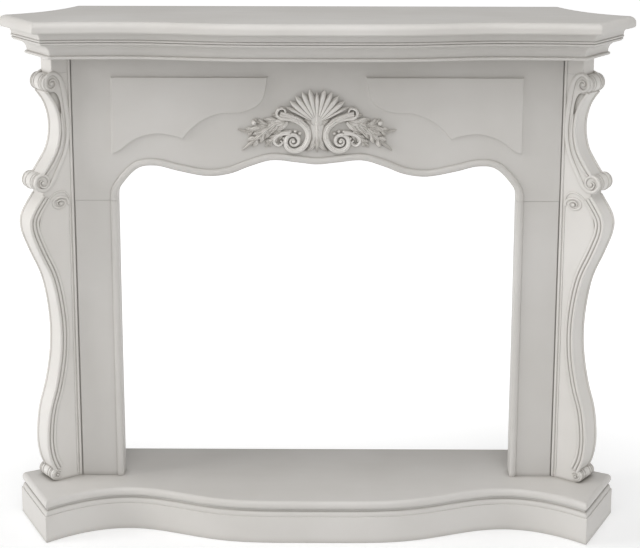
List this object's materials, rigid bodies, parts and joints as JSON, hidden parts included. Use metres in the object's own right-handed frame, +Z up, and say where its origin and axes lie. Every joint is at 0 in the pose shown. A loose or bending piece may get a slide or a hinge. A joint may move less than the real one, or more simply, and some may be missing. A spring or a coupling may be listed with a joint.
{
  "type": "fireplace mantelpiece",
  "caption": "Painted fireplace mantelpiece with a serpentine shelf and base, diagonal scroll consoles, raised frieze fields and a carved shell over a scalloped opening.",
  "frame": {"origin": "on the floor, under the middle of the whole piece", "axes": "+X to the right seen from the front, +Y back to the wall, +Z up"},
  "size_m": [1.4824, 0.393, 1.251],
  "materials": {
    "paint": "satin off-white paint"
  },
  "bodies": {
    "root": {"hearth_base": "paint", "mantel_shelf": "paint", "frieze": "paint", "frieze_carving": "paint", "jamb_left": "paint", "jamb_right": "paint", "console_left": "paint", "console_right": "paint", "side_return_left": "paint", "side_return_right": "paint"}
  },
  "joints": []
}
